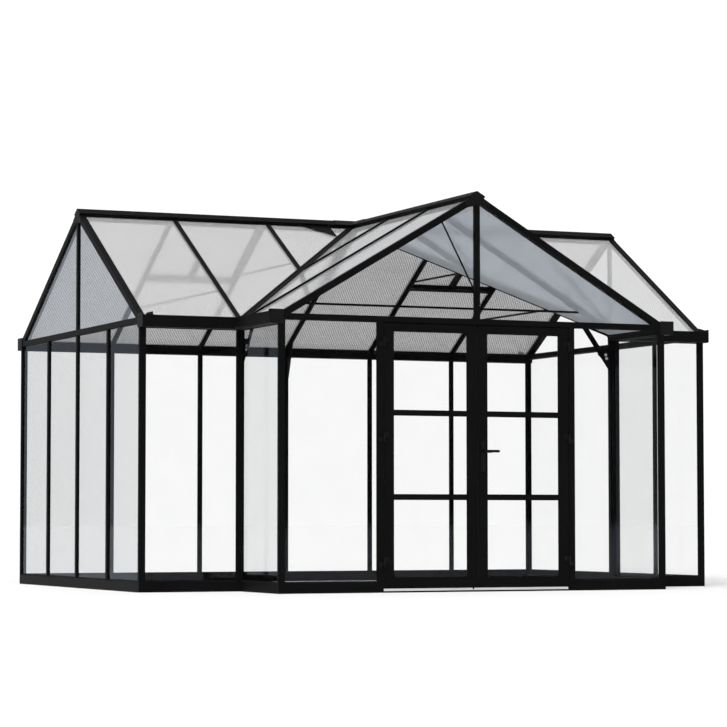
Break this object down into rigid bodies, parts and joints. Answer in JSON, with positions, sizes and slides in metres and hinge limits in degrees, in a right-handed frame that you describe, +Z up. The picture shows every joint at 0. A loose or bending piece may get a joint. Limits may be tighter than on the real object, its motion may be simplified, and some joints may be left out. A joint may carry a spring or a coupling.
{
  "type": "glass greenhouse",
  "caption": "Free-standing cross-gabled greenhouse with clear walls, twin-wall roof, black frame, gutters and hinged double doors; shelters plants and people.",
  "frame": {"origin": "centre of the overall box on the ground, under the base rails", "axes": "+Z up, +X along the main ridge to the right of the door wall as seen from outside, -Y out of the doors"},
  "size_m": [4.422, 3.669, 2.7598],
  "materials": {
    "black_frame": "satin powder coat",
    "black_fittings": "smooth satin",
    "black_plastic": "matt moulded",
    "clear_sheet": "clear gloss",
    "twin_wall_sheet": "translucent, fine flutes down the slope"
  },
  "bodies": {
    "house": {"base_rails_long": "black_frame", "base_rails_cross": "black_frame", "door_threshold": "black_frame", "corner_posts": "black_frame", "back_wall_mullions": "black_frame", "end_wall_mullions": "black_frame", "door_jambs": "black_frame", "end_gable_ties": "black_frame", "door_header": "black_frame", "eave_gutter_back": "black_frame", "eave_gutters_wings": "black_frame", "eave_gutters_porch": "black_frame", "gutter_end_caps": "black_plastic", "main_ridge_beam": "black_frame", "porch_ridge_beam": "black_frame", "ridge_junction_cap": "black_plastic", "ridge_end_caps": "black_plastic", "end_gable_rafters": "black_frame", "front_gable_rafters": "black_frame", "back_rafters": "black_frame", "wing_rafters": "black_frame", "porch_rafters": "black_frame", "valley_rafters": "black_frame", "king_posts": "black_frame", "collar_ties": "black_frame", "ridge_brace": "black_frame", "knee_brackets": "black_frame", "back_wall_panes": "clear_sheet", "end_wall_panes": "clear_sheet", "wing_front_panes": "clear_sheet", "porch_side_panes": "clear_sheet", "porch_front_panes": "clear_sheet", "end_gable_panes": "clear_sheet", "front_gable_panes": "clear_sheet", "back_roof_panels": "twin_wall_sheet", "wing_roof_panels": "twin_wall_sheet", "porch_roof_panels": "twin_wall_sheet", "roof_vent_sills": "black_frame", "roof_vent_sashes": "black_frame", "roof_vent_panes": "twin_wall_sheet", "roof_vent_stays": "black_frame", "door_hinge_pins": "black_fittings"},
    "left_door": {"left_door_stiles": "black_frame", "left_door_rails": "black_frame", "left_door_panes": "clear_sheet", "left_door_hinges": "black_fittings", "left_door_bolt": "black_frame"},
    "right_door": {"right_door_stiles": "black_frame", "right_door_rails": "black_frame", "right_door_panes": "clear_sheet", "right_door_hinges": "black_fittings", "handle_plates": "black_fittings"},
    "lever": {"door_handle": "black_fittings"}
  },
  "joints": [
    {"name": "left_door_swing", "type": "hinge", "parent": "house", "child": "left_door", "pos_m": [-0.7035, -1.7895, 0.93], "axis": [0, 0, -1], "range_deg": [0, 120]},
    {"name": "right_door_swing", "type": "hinge", "parent": "house", "child": "right_door", "pos_m": [0.7035, -1.7895, 0.93], "axis": [0, 0, 1], "range_deg": [0, 120]},
    {"name": "lever_turn", "type": "hinge", "parent": "right_door", "child": "lever", "pos_m": [0.039, -1.7685, 0.961], "axis": [0, 1, 0], "range_deg": [0, 40], "stiffness_Nm_per_rad": 1.2, "springref_deg": -17.19}
  ]
}
